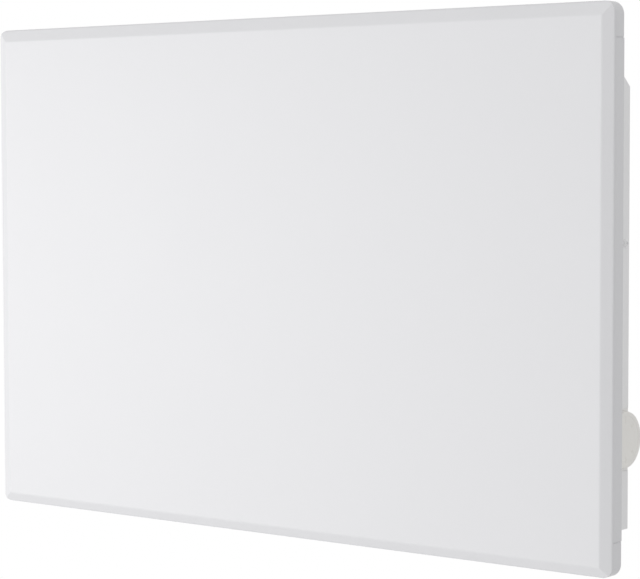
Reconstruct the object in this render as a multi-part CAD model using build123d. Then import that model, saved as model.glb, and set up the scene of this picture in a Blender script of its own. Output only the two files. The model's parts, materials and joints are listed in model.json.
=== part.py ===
from build123d import *
import math
import os

# Wall panel convector heater.  Millimetres.  The front faces -Y, y = 0 is the wall and +X is the
# viewer's right.  The model is built with z = 0 at the front panel's bottom edge and depths counted
# back from its front face; on export it moves down, to put z = 0 at the middle of the wall screws.

# Whole object
panel_width = 585
panel_height = 389
front_to_wall = 80
screw_group_height = 180
screw_group_width = 300
screw_group_rise = 140

# Front panel: one folded sheet
panel_sheet = 1.0
bevel_depth = 2.7
bevel_side = 9.0
bevel_top = 9.5
bevel_bottom = 7.0
bevel_bend = 5.0
edge_bend = 2.0
outline_radius = 9.0
corner_run = 24.5
corner_seam = 0.8
flange_end = 13.6
rolled_edge = 2.0
lip_width = 14.0
lip_back = flange_end + rolled_edge
seam_front = 3.4
seam_groove = 0.5
panel_screw_inset = 3.6
panel_screw_heights = (60, 160, 245, 330)

# Rear casing: a pan, open to the front
casing_width = 556
casing_bottom = 27.5
casing_top = 346.5
casing_back = 47.6
casing_sheet = 1.0
slope_start = 30.5
slope_foot = 332.0
casing_bend = 1.2
flange_width = 8.0
air_slot_length = 28.0
air_slot_width = 7.0
air_slot_pitch = 36.0
air_slot_count = 14
groove_radius = 3.0
groove_heights = (150, 185, 220)
groove_length = 200
floor_slot_spacing = 14.0
catch_window = (290.5, 312.0)
catch_window_half = 11.0
hook_window_half = 2.0

# Shield between the element and the front panel
shield_sheet = 0.8
shield_width = 552
shield_low = 21
shield_high = 354.5
bead_radius = 3.0
bead_heights = (90, 188, 286)
bead_length = 460
shield_screw_columns = (-240, -120, 0, 120, 240)

# Heating element
element_back = 29.0
element_height = 95.0
element_left = -222
element_right = 166
fin_reach = 14.5
fin_sheet = 1.6
fin_hub = 6.5
fin_slot = 1.6
fin_pitch = 14.0
heater_rod = 4.0
insulator_radius = 8.0
insulator_collar = 10.5
rod_pin_radius = 1.5
rod_pin_length = 10.0
bracket_sheet = 1.2
bracket_standoff = 12.0
bracket_low = 48.0
bracket_high = 142.0
bracket_front = 20.0
bracket_foot = 14.0
reflector_front = 41.0
reflector_sheet = 0.5
reflector_lip = 3.0
reflector_rivets = (62, 128)

# Thermostat on the right, in a notch of the casing
notch_left = 213.7
notch_low = 68.4
notch_high = 111.6
notch_front = 18.7
housing_wall = 2.0
housing_gap = 0.05
housing_boss = 3.4
housing_right = 277.9
board_peg = 2.6
cover_back = 62.0
cover_right = 270.0
cover_corner = 9.0
cover_overlap = 1.7
cover_vent = (238, 256)
dial_back = 37.3
dial_height = 90.5
dial_radius = 19.9
dial_face = 282.2
dial_thickness = 4.0
spindle_radius = 2.95
spindle_clearance = 0.05
spindle_flat = 1.6
dial_flutes = 60
dial_rim = 3.2
dial_sink = 0.4
dial_hub = 6.0
dial_pad = 0.15
dial_relief = 3.0
gland_x = 232.0
gland_back = 54.0
gland_bore = 3.6
gland_neck = 4.9
board_left = 225.6
board_right = 257.6
board_front = 27.0
board_back = 28.6
board_low = 73.0
board_high = 107.0
grommet_radius = 4.0
grommet_flange = 5.4
grommet_height = 90.0
grommet_back = 35.0
potentiometer_radius = 7.8

# Rocker switch on the casing's right side
switch_back = 25.0
switch_height = 141.0
switch_opening = (13.0, 20.0)
rocker_tilt = 10.0
rocker_pivot = 277.5
switch_bezel = 1.5
switch_inner = 265.5
switch_wall = 1.0
switch_blade = 7.0
switch_blade_lift = 5.0
switch_lead_x = 255.2
switch_lead_backs = (33.4, 37.0)
switch_grommet_radius = 3.5
switch_grommet_flange = 4.6

# Overheat limiter, hung from the right side wall
limiter_x = 245.0
limiter_back = 34.0
limiter_height = 225.5
limiter_screw_back = 41.2
limiter_shelf = 12.0
limiter_radius = 7.5
limiter_body_height = 9.0
limiter_tab_length = 8.0
limiter_tab_offset = 4.5
limiter_ear = 10.0

# Wall bracket
rail_half = 15.0
rail_sheet = 1.5
rail_low = 45
rail_high = 325
rail_front = 47.8
rail_waist = 66.0
shoulder_low = 292.0
waist_high = 276.0
waist_low = 104.0
hook_shoulder = 90.0
screw_slot_radius = 3.0
screw_slot_length = 14.0
hook_height = 70.0
hook_lift = 10.0
hook_gap = 0.3
hook_sheet = 3.0
crossbar_heights = (140, 225)
crossbar_half = 13.0
crossbar_tab = 14.0
crossbar_rivet_lift = 7.0
crossbar_rivet_back = 72.0
catch_width = 26.0
catch_sheet = 3.0
catch_travel = 8.0
catch_low = 285.0
catch_high = 333.0
catch_ear_low = 305.0
catch_ear_height = 8.0
catch_axis_back = 59.5
catch_lip_width = 18.0
catch_lip_height = 16.0
catch_peg = 2.9
spring_seat_height = 260.5
spring_radius = 4.4
spring_wire = 0.4
spring_turns = 6

# Leads and fasteners
lead_radius = 1.3
lead_bend = 8.0
clip_height = 40.0
clip_back = 24.0
clip_places = (-180, -72, 72, 180)
clip_width = 8.0
earth_x = 236.0
earth_height = 48.0
fastener_gap = 0.05
small_screw = (1.7, 3.2)
narrow_screw = (1.7, 2.6)
cover_screw = (1.7, 3.0)
rivet = (2.0, 3.6)
small_rivet = (1.55, 2.4)

casing_half = casing_width / 2
casing_inner_back = casing_back - casing_sheet
casing_inner_side = casing_half - casing_sheet
rail_x = screw_group_width / 2
hook_x = rail_half - rail_sheet / 2
shelf_top = limiter_height + limiter_shelf
shelf_under = shelf_top - bracket_sheet


def depth(back):
    return back - front_to_wall


def point(x, back, z):
    return Vector(x, depth(back), z)


def block(x, back, z):
    # A box between two limits on each axis, given in either order.
    low = point(min(x), min(back), min(z))
    high = point(max(x), max(back), max(z))
    size = high - low
    return Pos(*((low + high) * 0.5)) * Box(size.X, size.Y, size.Z)


def rod(start, end, radius):
    axis = end - start
    return Part() + Solid.make_cylinder(radius, axis.length, Plane(start, z_dir=axis))


def tube(start, end, outer, inner):
    return rod(start, end, outer) - rod(start, end, inner)


def prism_x(outline, x):
    # The outline holds (back, z) pairs and is drawn out along X.
    face = make_face(Polyline(*[point(x[0], back, z) for back, z in outline], close=True))
    return extrude(face, amount=x[1] - x[0], dir=(1, 0, 0))


def prism_y(outline, back):
    # The outline holds (x, z) pairs and is drawn out along Y.
    face = make_face(Polyline(*[point(x, back[0], z) for x, z in outline], close=True))
    return extrude(face, amount=back[1] - back[0], dir=(0, 1, 0))


def screw(seat, outward, length, size):
    # The seat is the middle of the face under the head; outward points from it to the head.
    shank, head = size
    height = 0.6 * head
    recess = Box(1.2 * head, 0.3 * head, height) + Box(0.3 * head, 1.2 * head, height)
    body = Pos(0, 0, height / 2) * Cylinder(head, height)
    body = fillet(body.edges().group_by(Axis.Z)[-1], 0.6 * height)
    body = body + Pos(0, 0, -length / 2) * Cylinder(shank, length)
    body = body - Pos(0, 0, height) * recess
    return Plane(seat, z_dir=outward) * body


def screw_hole(seat, way, reach=4.0):
    # A clearance hole for a small screw, through the sheet at its seat.
    along = Vector(*way) * reach
    return rod(seat - along, seat + along, small_screw[0] + fastener_gap)


def rivet_through(front, outward, grip):
    # A shank as long as the sheets that it grips, with a low head on each side.
    shank, head = rivet
    body = Cylinder(shank, grip, align=(Align.CENTER, Align.CENTER, Align.MAX))
    body = body + Cylinder(head, 1.0, align=(Align.CENTER, Align.CENTER, Align.MIN))
    tail = Cylinder(head, 1.0, align=(Align.CENTER, Align.CENTER, Align.MAX))
    body = body + Pos(0, 0, -grip) * tail
    return Plane(front, z_dir=outward) * body


def group(solids):
    return Compound(children=[Solid(s.wrapped) for piece in solids for s in piece.solids()])


# ---- front panel ----

def front_profile(low, high, bevels, skin):
    # Half of the folded section: flange, bevel, flat face, bevel, flange, each set in by the skin.
    face = depth(skin)
    corners = []
    for edge, bevel, side in ((low, bevels[0], 1), (high, bevels[1], -1)):
        angle = math.atan2(bevel_depth, bevel)
        shoulder = (skin + (bevel - skin) * math.sin(angle)) / math.cos(angle)
        bend = bevel + skin * math.tan(angle / 2)
        corners.append(((edge + side * skin, depth(shoulder)), (edge + side * bend, face)))
    rear = depth(flange_end + skin)
    points = [(corners[0][0][0], rear), corners[0][0], corners[0][1]]
    points += [corners[1][1], corners[1][0], (corners[1][0][0], rear)]
    radii = [edge_bend - skin, bevel_bend - skin, bevel_bend - skin, edge_bend - skin]
    return points, radii


def folded_block(skin):
    half = panel_width / 2
    points, radii = front_profile(-half, half, (bevel_side, bevel_side), skin)
    line = FilletPolyline(*points, radius=radii) + Line(points[-1], points[0])
    across = extrude(make_face(line), amount=panel_height)
    points, radii = front_profile(0, panel_height, (bevel_bottom, bevel_top), skin)
    line = FilletPolyline(*points, radius=radii) + Line(points[-1], points[0])
    upright = extrude(Plane.ZY * make_face(line), amount=panel_width, both=True)
    outline = RectangleRounded(
        panel_width - 2 * skin, panel_height - 2 * skin, outline_radius - skin
    )
    centre = Plane((0, depth(-1), panel_height / 2), x_dir=(1, 0, 0), z_dir=(0, 1, 0))
    return across & upright & extrude(centre * outline, amount=flange_end + 4)


def rolled_lip(run):
    # Section of the rolled rear edge, drawn with +X out of the panel and run along Z.
    outer = rolled_edge
    inner = rolled_edge - panel_sheet
    centre = (-rolled_edge, depth(flange_end))
    path = CenterArc(centre, outer, 0, 90)
    path += Line((-outer, depth(lip_back)), (-lip_width, depth(lip_back)))
    path += Line((-lip_width, depth(lip_back)), (-lip_width, depth(lip_back - panel_sheet)))
    path += Line((-lip_width, depth(lip_back - panel_sheet)), (-outer, depth(lip_back - panel_sheet)))
    path += CenterArc(centre, inner, 0, 90)
    path += Line((-panel_sheet, depth(flange_end)), (0, depth(flange_end)))
    return extrude(make_face(path), amount=run / 2, both=True)


def panel_screw_seats():
    x = casing_half + flange_width - panel_screw_inset
    return [point(side * x, lip_back, z) for side in (-1, 1) for z in panel_screw_heights]


def front_panel():
    half = panel_width / 2
    middle = panel_height / 2
    sheet = folded_block(0) - folded_block(panel_sheet)
    side_run = panel_height - 2 * corner_run
    top_run = panel_width - 2 * corner_run
    # Between the corners a rolled lip carries the flange on.
    side_lip = rolled_lip(side_run)
    top_lip = rolled_lip(top_run)
    sheet = sheet + Pos(half, 0, middle) * side_lip
    sheet = sheet + Pos(-half, 0, middle) * Rot(0, 0, 180) * Rot(180, 0, 0) * side_lip
    sheet = sheet + Pos(0, 0, panel_height) * Rot(0, -90, 0) * top_lip
    sheet = sheet + Rot(0, 90, 0) * top_lip
    seam = corner_seam / 2
    deep = (seam_front, lip_back + 1)
    for edge in (corner_run, panel_height - corner_run):
        for side in (-half, half):
            cut = (side - seam_groove, side + seam_groove)
            sheet = sheet - block(cut, deep, (edge - seam, edge + seam))
    for edge in (corner_run - half, half - corner_run):
        for side in (0, panel_height):
            cut = (side - seam_groove, side + seam_groove)
            sheet = sheet - block((edge - seam, edge + seam), deep, cut)
    for seat in panel_screw_seats():
        sheet = sheet - screw_hole(seat, (0, 1, 0))
    return sheet


def panel_screws():
    lift = Vector(0, casing_sheet, 0)
    return group([screw(seat + lift, (0, 1, 0), 4.5, small_screw) for seat in panel_screw_seats()])


# ---- rear casing and shield ----

def air_slots(centre, normal, rows):
    # Rows of round-ended slots along X; rows holds how many there are and how far apart.
    shape = SlotOverall(air_slot_length, air_slot_width)
    slots = Sketch() + GridLocations(air_slot_pitch, rows[1], air_slot_count, rows[0]) * shape
    face = Plane(centre, x_dir=(1, 0, 0), z_dir=normal)
    return extrude(face * slots, amount=3, both=True)


def hook_windows():
    # A slot for each hook, low enough for the heater to be lifted off.
    wall = (casing_inner_back - 2, casing_back + 2)
    height = (hook_height - 2 * hook_lift - 1, hook_height)
    windows = []
    for x in [side * rail_x + leg * hook_x for side in (-1, 1) for leg in (-1, 1)]:
        windows.append(block((x - hook_window_half, x + hook_window_half), wall, height))
    return windows


def catch_windows():
    wall = (casing_inner_back - 2, casing_back + 2)
    spans = [(x - catch_window_half, x + catch_window_half) for x in (-rail_x, rail_x)]
    return [block(span, wall, catch_window) for span in spans]


def pan_block(skin):
    # The pan's outer form, or its hollow when the skin is the sheet's thickness.
    steep = math.atan2(casing_back - slope_start, casing_top - slope_foot)
    foot = slope_foot - skin * math.tan(steep / 2)
    start = slope_start - skin * math.tan((math.pi / 2 - steep) / 2)
    front = lip_back - skin
    low = casing_bottom + skin
    back = casing_back - skin
    outline = [(front, low), (back, low), (back, foot), (start, casing_top - skin)]
    outline.append((front, casing_top - skin))
    body = prism_x(outline, (skin - casing_half, casing_half - skin))
    uprights = body.edges().filter_by(Axis.Z).group_by(Axis.Y)[-1]
    crossways = body.edges().filter_by(Axis.X).group_by(Axis.Y)[-1]
    return fillet(uprights + crossways, casing_bend - skin)


def pressed_bead(sheet, back, height, length, radius, gauge):
    # Presses a half-round bead of this inner radius forwards into a sheet whose rear face is at back.
    ends = [point(side * length / 2, back, height) for side in (-1, 1)]
    outer = radius + gauge
    front_half = block((-length, length), (back - 2 * outer, back), (height - 2 * outer, height + 2 * outer))
    sheet = sheet + (rod(ends[0], ends[1], outer) & front_half)
    return sheet - rod(ends[0] + (gauge, 0, 0), ends[1] - (gauge, 0, 0), radius)


def casing_flange():
    # The ring that turns outwards round the pan's open front and lies on the panel's lips.
    reach = casing_half + flange_width
    ring = block(
        (-reach, reach),
        (lip_back, lip_back + casing_sheet),
        (casing_bottom - flange_width, casing_top + flange_width),
    )
    ring = chamfer(ring.edges().filter_by(Axis.Y), flange_width / 2)
    mouth = block(
        (-casing_inner_side, casing_inner_side),
        (lip_back - 1, lip_back + casing_sheet + 1),
        (casing_bottom + casing_sheet, casing_top - casing_sheet),
    )
    return ring - mouth


def rear_casing():
    pan = pan_block(0) - pan_block(casing_sheet) + casing_flange()
    for height in groove_heights:
        pan = pressed_bead(pan, casing_back, height, groove_length, groove_radius, casing_sheet)
    rise = casing_top - slope_foot
    run = casing_back - slope_start
    slope_middle = point(0, (casing_back + slope_start) / 2 - 1, (casing_top + slope_foot) / 2 + 1)
    flat_middle = point(0, (lip_back + slope_start) / 2 + 1, casing_top)
    floor_middle = point(0, (lip_back + casing_back) / 2, casing_bottom)
    pan = pan - air_slots(flat_middle, (0, 0, 1), (1, 1))
    pan = pan - air_slots(slope_middle, (0, rise, run), (1, 1))
    pan = pan - air_slots(floor_middle, (0, 0, 1), (2, floor_slot_spacing))
    notch = block(
        (notch_left, casing_half + 2), (notch_front, casing_back + 2), (notch_low, notch_high)
    )
    for cut in [notch, dial_relief_cut(), switch_cutout()] + hook_windows() + catch_windows() + casing_holes():
        pan = pan - cut
    return pan


def dial_relief_cut():
    # The flange is cut away beside the dial, which stands close behind the panel's lip.
    reach = dial_radius + dial_relief
    return block(
        (casing_half, casing_half + flange_width + 1),
        (lip_back - 1, lip_back + casing_sheet + 1),
        (dial_height - reach, dial_height + reach),
    )


def switch_cutout():
    half_depth = switch_opening[0] / 2 + 4 * fastener_gap
    half_height = switch_opening[1] / 2 + 4 * fastener_gap
    return block(
        (casing_inner_side - 2, casing_half + 2),
        (switch_back - half_depth, switch_back + half_depth),
        (switch_height - half_height, switch_height + half_height),
    )


def casing_holes():
    seats = panel_screw_seats() + shield_screw_seats() + element_screw_seats()
    seats += module_screw_seats() + [earth_seat()]
    return [screw_hole(seat, (0, 1, 0)) for seat in seats] + [screw_hole(limiter_screw_seat(), (1, 0, 0))]


def shield_screw_seats():
    heights = (casing_bottom - flange_width / 2, casing_top + flange_width / 2)
    return [point(x, lip_back, z) for x in shield_screw_columns for z in heights]


def heat_shield():
    # A flat plate with pressed beads, which closes the front of the pan.
    half = shield_width / 2
    plate = block((-half, half), (lip_back - shield_sheet, lip_back), (shield_low, shield_high))
    plate = fillet(plate.edges().filter_by(Axis.Y), 5)
    for height in bead_heights:
        plate = pressed_bead(plate, lip_back, height, bead_length, bead_radius, shield_sheet)
    for seat in shield_screw_seats():
        plate = plate - screw_hole(seat, (0, 1, 0))
    return plate


def shield_screws():
    lift = Vector(0, -shield_sheet, 0)
    return group([screw(seat + lift, (0, -1, 0), 4, small_screw) for seat in shield_screw_seats()])


# ---- heating element ----

def element_fins():
    # An extruded cross of four slotted fins round the rod, turned to stand as an X.
    length = element_right - element_left
    middle = point((element_left + element_right) / 2, element_back, element_height)
    fin = Box(length, fin_sheet, 2 * fin_reach)
    cross = fin + Rot(90, 0, 0) * fin
    count = int(length / fin_pitch) - 1
    for x in [fin_pitch * (i - (count - 1) / 2) for i in range(count)]:
        slot = Pos(x, 0, 0) * Box(fin_slot, 2 * fin_reach + 2, 2 * fin_reach + 2)
        core = Pos(x, 0, 0) * Box(2 * fin_slot, 2 * fin_hub + 3, 2 * fin_hub + 3)
        cross = cross - (slot - core)
    cross = Pos(*middle) * Rot(45, 0, 0) * cross
    start = point(element_left, element_back, element_height)
    end = point(element_right, element_back, element_height)
    return cross + rod(start, end, fin_hub) - rod(start, end, heater_rod + fastener_gap)


def heating_rod():
    reach = bracket_standoff + 8
    start = point(element_left - reach, element_back, element_height)
    end = point(element_right + reach, element_back, element_height)
    pin = Vector(rod_pin_length, 0, 0)
    return rod(start, end, heater_rod) + rod(start - pin, end + pin, rod_pin_radius)


def element_end(side, inwards=0.0):
    # Where a bracket's plate stands along X, or a place this far in from it.
    end = element_right + bracket_standoff if side > 0 else element_left - bracket_standoff
    return end - side * inwards


def element_bracket(side):
    # A plate across the pan with a foot on its back wall and a tab that carries the reflector.
    end = element_end(side)
    z = (bracket_low, bracket_high)
    tab_back = reflector_front + reflector_sheet
    plate = block((end, end + side * bracket_sheet), (bracket_front, casing_inner_back), z)
    foot = block(
        (end, end + side * bracket_foot), (casing_inner_back - bracket_sheet, casing_inner_back), z
    )
    tab = block((end - side * 10, end + side * bracket_sheet), (tab_back, tab_back + bracket_sheet), z)
    bracket = plate + foot + tab
    for seat in element_screw_seats():
        bracket = bracket - screw_hole(seat, (0, 1, 0))
    centre = point(end, element_back, element_height)
    bore = rod(centre - (20, 0, 0), centre + (20, 0, 0), insulator_radius + 2 * fastener_gap)
    return with_reflector_holes(bracket - bore)


def element_insulator(side):
    inner = point(element_end(side, 4), element_back, element_height)
    face = point(element_end(side), element_back, element_height)
    outer = point(element_end(side, -6), element_back, element_height)
    bush = rod(inner, face, insulator_collar) + rod(face, outer, insulator_radius)
    return bush - rod(inner, outer, heater_rod + fastener_gap)


def element_screw_seats():
    return [point(element_end(side, -8.5), casing_back, z) for side in (-1, 1) for z in (60, 130)]


def reflector_rivet_seats():
    places = [(element_end(side, 6), z) for side in (-1, 1) for z in reflector_rivets]
    return [point(x, reflector_front, z) for x, z in places]


def rear_reflector():
    # A bright sheet behind the fins, with its long edges turned forwards.
    x = (element_end(-1, 3), element_end(1, 3))
    narrow = (element_end(-1, 15), element_end(1, 15))
    back = (reflector_front, reflector_front + reflector_sheet)
    low = bracket_low - 1
    high = bracket_high + 1
    plate = block(x, back, (bracket_low + 2, bracket_high - 2)) + block(narrow, back, (low, high))
    for edge in ((low, low + 2 * reflector_sheet), (high - 2 * reflector_sheet, high)):
        plate = plate + block(narrow, (reflector_front - reflector_lip, back[1]), edge)
    return with_reflector_holes(plate)


def element_fasteners():
    screws = [screw(seat, (0, 1, 0), 4.5, small_screw) for seat in element_screw_seats()]
    grip = reflector_sheet + bracket_sheet
    rivets = [rivet_through(seat, (0, -1, 0), grip) for seat in reflector_rivet_seats()]
    return group(screws + rivets)


def with_reflector_holes(plate):
    for seat in reflector_rivet_seats():
        plate = plate - rod(seat - (0, 1, 0), seat + (0, 3, 0), rivet[0])
    return plate


# ---- overheat limiter ----

def limiter_screw_seat():
    return point(casing_half, limiter_screw_back, limiter_height)


def limiter_rivet_seats():
    # On the shelf's upper face, over the limiter's two ears.
    return [point(limiter_x, limiter_back + side * limiter_ear, shelf_top) for side in (-1, 1)]


def limiter_bracket():
    # An angle: its foot is screwed to the side wall, and its shelf carries the limiter.
    back = (limiter_back - 12, limiter_back + 12)
    foot_z = (limiter_height - 7, shelf_top)
    foot = block((casing_inner_side - bracket_sheet, casing_inner_side), back, foot_z)
    shelf = block((limiter_x - 12, casing_inner_side), back, (shelf_under, shelf_top))
    bracket = foot + shelf - screw_hole(limiter_screw_seat(), (1, 0, 0))
    for seat in limiter_rivet_seats():
        bracket = bracket - rod(seat - (0, 0, 3), seat + (0, 0, 1), small_rivet[0] + fastener_gap)
    return bracket


def overheat_limiter():
    # A round thermal cut-out under the shelf, with two ears and two blade terminals.
    low = shelf_under - limiter_body_height
    top = point(limiter_x, limiter_back, shelf_under)
    body = rod(Vector(top.X, top.Y, low), top, limiter_radius)
    reach = (limiter_back - 13, limiter_back + 12)
    body = body + block((limiter_x - 3, limiter_x + 3), reach, (shelf_under - bracket_sheet, shelf_under))
    for x in (limiter_x - limiter_tab_offset, limiter_x + limiter_tab_offset):
        blade = (limiter_back - 3, limiter_back + 3)
        body = body + block((x - 0.4, x + 0.4), blade, (low - limiter_tab_length, low))
    for seat in limiter_rivet_seats():
        body = body - rod(seat - (0, 0, 4), seat, small_rivet[0] + fastener_gap)
    return body


def limiter_screw():
    return screw(limiter_screw_seat(), (1, 0, 0), 5, narrow_screw)


def limiter_rivets():
    shank, head = small_rivet
    grip = 2 * bracket_sheet
    pieces = []
    for seat in limiter_rivet_seats():
        pin = rod(seat - (0, 0, grip), seat, shank)
        cap = rod(seat, seat + (0, 0, 0.9), head)
        tail = rod(seat - (0, 0, grip + 0.9), seat - (0, 0, grip), head)
        pieces.append(pin + cap + tail)
    return group(pieces)


# ---- thermostat ----

def module_screw_seats():
    return [point(notch_left - 5, casing_back, dial_height + lift) for lift in (-12.3, 11.7)]


def cover_screw_seats():
    xs = (notch_left + 8, cover_right - 8.5)
    zs = (notch_low + 7, notch_high - 7)
    return [point(x, cover_back - 3, z) for x in xs for z in zs]


def thermostat_housing():
    # A box open to the back, with bosses for the cover's screws, board pegs and a screw ear.
    x = (notch_left + housing_gap, housing_right)
    z = (notch_low + housing_gap, notch_high - housing_gap)
    back = (notch_front + housing_gap, casing_back - 0.1)
    wall = housing_wall
    shell = block(x, back, z)
    shell = fillet(shell.edges().filter_by(Axis.Y), 0.2)
    shell = fillet(shell.edges().filter_by(Axis.Z).group_by(Axis.Y)[-1].sort_by(Axis.X)[-1], casing_bend)
    inside_z = (z[0] + wall, z[1] - wall)
    shell = shell - block((x[0] + wall, x[1] - wall), (back[0] + wall, back[1] + 1), inside_z)
    # The rear cover stops short of the dial, and a strip of back wall closes the box beside it.
    shell = shell + block((cover_right - 4, x[1] - wall / 2), (back[1] - wall, back[1]), inside_z)
    for seat in cover_screw_seats():
        foot = point(seat.X, back[0] + 1, seat.Z)
        mouth = point(seat.X, back[1], seat.Z)
        shell = shell + rod(foot, mouth, housing_boss)
        shell = shell - rod(mouth - (0, 18, 0), mouth + (0, 1, 0), cover_screw[0] + fastener_gap)
    ear = block((x[0] - 9, x[0] + 1), (casing_inner_back - wall, casing_inner_back), (board_low, board_high))
    shell = shell + fillet(ear.edges().filter_by(Axis.Y).group_by(Axis.X)[0], 3)
    for seat in module_screw_seats():
        shell = shell - screw_hole(seat, (0, 1, 0))
    centre = point(housing_right, dial_back, dial_height)
    shell = shell - rod(centre - (5, 0, 0), centre + (1, 0, 0), spindle_radius + 0.5)
    for peg_x, peg_z in ((board_left + 4, notch_low + 8), (board_right - 4, notch_high - 8)):
        foot = point(peg_x, back[0] + 1, peg_z)
        shell = shell + rod(foot, point(peg_x, board_front, peg_z), board_peg)
    lead_hole = grommet_centre()
    shell = shell - rod(lead_hole - (5, 0, 0), lead_hole + (5, 0, 0), grommet_radius)
    switch_hole = switch_grommet_centre()
    return shell - rod(switch_hole - (0, 0, 5), switch_hole + (0, 0, 5), switch_grommet_radius)


def grommet_centre():
    # In the middle of the housing's inner side wall.
    return point(notch_left + housing_gap + housing_wall / 2, grommet_back, grommet_height)


def circuit_board():
    board = block((board_left, board_right), (board_front, board_back), (board_low, board_high))
    return chamfer(board.edges().filter_by(Axis.Y), 1.5)


def relay():
    body = block((233, 252), (board_back, board_back + 14), (88, 103.5))
    return fillet(body.edges().filter_by(Axis.Y), 0.8)


def suppression_capacitor():
    body = block((227, 231.5), (board_back, board_back + 11), (88, 102))
    return fillet(body.edges().filter_by(Axis.Y), 0.8)


def terminal_block():
    # Three clamping cells side by side, each with a wire entry below and a screw well behind.
    left = board_left + 2.4
    low = board_low + 3
    body = block((left, left + 18), (board_back, board_back + 12), (low, low + 9))
    for x in [left + 3 + 6 * cell for cell in range(3)]:
        entry = point(x, board_back + 5, low)
        well = point(x, board_back + 9, low + 5)
        body = body - rod(entry - (0, 0, 1), entry + (0, 0, 5), 1.6)
        body = body - rod(well, well + (0, 4, 0), 1.7)
    return body


def room_sensor():
    # A thermistor bead that stands off the board on two wires.
    foot = point(board_right - 6.6, board_back, board_low + 6)
    bead = Vector(foot.X, depth(42), foot.Z)
    body = Pos(*bead) * Sphere(2.0)
    for side in (-0.8, 0.8):
        body = body + rod(foot + (side, 0, 0), bead + (side, 0, 0), 0.35)
    return body


def potentiometer():
    middle = point(board_right + 1, dial_back, dial_height)
    body = rod(middle, middle + (7.5, 0, 0), potentiometer_radius)
    foot_z = (dial_height - 5, dial_height + 5)
    foot = block((board_right - 5, board_right + 5), (board_back, dial_back), foot_z)
    neck = rod(middle + (7, 0, 0), middle + (14.5, 0, 0), spindle_radius + 1.25)
    bore = rod(middle + (3, 0, 0), middle + (20, 0, 0), spindle_radius + spindle_clearance)
    return body + foot + neck - bore


def dial_spindle():
    # A shaft with a flat that drives the dial.
    start = point(board_right + 4.4, dial_back, dial_height)
    end = point(dial_face - 2, dial_back, dial_height)
    z = (dial_height - 5, dial_height + 5)
    flat = block((end.X - 5, end.X + 1), (dial_back + spindle_flat, dial_back + 5), z)
    return rod(start, end, spindle_radius) - flat


def thermostat_dial():
    # A flat wheel with fine grip flutes round a tapered rim, a sunk face and a pointer groove,
    # which points to the front of the heater.
    flutes = PolarLocations(dial_radius + 0.45, dial_flutes) * Circle(0.8)
    wheel = extrude(Circle(dial_radius) - flutes, amount=dial_thickness)
    taper = Cone(
        dial_radius + 3, dial_radius - 1, dial_thickness, align=(Align.CENTER, Align.CENTER, Align.MIN)
    )
    wheel = wheel & taper
    wheel = wheel - Pos(0, 0, dial_thickness) * Cylinder(dial_radius - dial_rim, 2 * dial_sink)
    hollow = Cylinder(dial_radius - 2.2, 2.4) - Cylinder(dial_hub, 2.4)
    wheel = wheel - Pos(0, 0, 0.6) * hollow
    wheel = wheel - Pos(6.5 - dial_radius, 0, dial_thickness) * Box(6, 1.2, 2.0)
    wheel = wheel + Cylinder(dial_hub, 2 * dial_pad)
    centre = point(dial_face - dial_thickness, dial_back, dial_height)
    return Plane(centre, x_dir=(0, 1, 0), z_dir=(1, 0, 0)) * wheel - dial_spindle()


def thermostat_cover():
    # The rear shell of the thermostat, with rounded ends, behind the casing's back wall.
    x = (notch_left - 0.5, cover_right)
    z = (notch_low - cover_overlap, notch_high + cover_overlap)
    back = (casing_back + 0.1, cover_back)
    wall = housing_wall
    shell = block(x, back, z)
    upright = shell.edges().filter_by(Axis.Z).group_by(Axis.Y)[-1].sort_by(Axis.X)
    shell = fillet(upright[-1], cover_corner)
    upright = shell.edges().filter_by(Axis.Z).group_by(Axis.Y)[-1].sort_by(Axis.X)
    shell = fillet(upright[0], cover_corner / 3)
    hollow = block(
        (x[0] + wall, x[1] - wall - 3), (back[0] - 1, back[1] - wall), (z[0] + wall, z[1] - wall)
    )
    shell = Part() + shell.solid() - hollow
    for seat in cover_screw_seats():
        foot = point(seat.X, back[0], seat.Z)
        shell = shell + rod(foot, point(seat.X, cover_back - 1, seat.Z), housing_boss + 0.5)
        shell = shell - rod(foot - (0, 1, 0), seat, cover_screw[0] + fastener_gap)
        shell = shell - rod(seat, seat + (0, 5, 0), housing_boss)
    for low in [notch_low + 12 + 3.6 * row for row in range(6)]:
        shell = shell - block(cover_vent, (cover_back - 3, cover_back + 1), (low, low + 1.6))
    gland = point(gland_x, gland_back, z[0])
    return shell - rod(gland - (0, 0, 1), gland + (0, 0, 3), gland_neck)


def cable_gland():
    # A snap-in bush: collar, neck through the cover's wall, inner lip and a ribbed nose.
    base = point(gland_x, gland_back, notch_low - cover_overlap)
    collar = rod(base - (0, 0, 2), base, gland_neck + 1.3)
    neck = rod(base - (0, 0, 1), base + (0, 0, 4), gland_neck - fastener_gap)
    lip = rod(base + (0, 0, housing_wall + fastener_gap), base + (0, 0, 4), gland_neck + 0.7)
    nose = Solid.make_cone(gland_neck, gland_neck + 1, 6, Plane(base - (0, 0, 8)))
    body = collar + neck + lip + nose
    for low in (7, 5, 3):
        body = body - tube(base - (0, 0, low), base - (0, 0, low - 0.8), 8, gland_neck - 0.2)
    return body - rod(base - (0, 0, 9), base + (0, 0, 5), gland_bore)


def lead_grommet():
    # Two flanges on a neck, one on each side of the housing's wall, with a hole for each lead.
    centre = grommet_centre()
    face = housing_wall / 2 + fastener_gap
    body = rod(centre - (2.4, 0, 0), centre + (2.4, 0, 0), grommet_flange)
    waist = grommet_radius - fastener_gap
    body = body - tube(centre - (face, 0, 0), centre + (face, 0, 0), grommet_flange + 1, waist)
    for place in lead_passes():
        body = body - rod(place - (4, 0, 0), place + (4, 0, 0), lead_radius + fastener_gap)
    return body


def lead_passes():
    centre = grommet_centre()
    return [centre + (0, 0, 1.9), centre + (0, -1.6, -1.2), centre + (0, 1.6, -1.2)]


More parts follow.
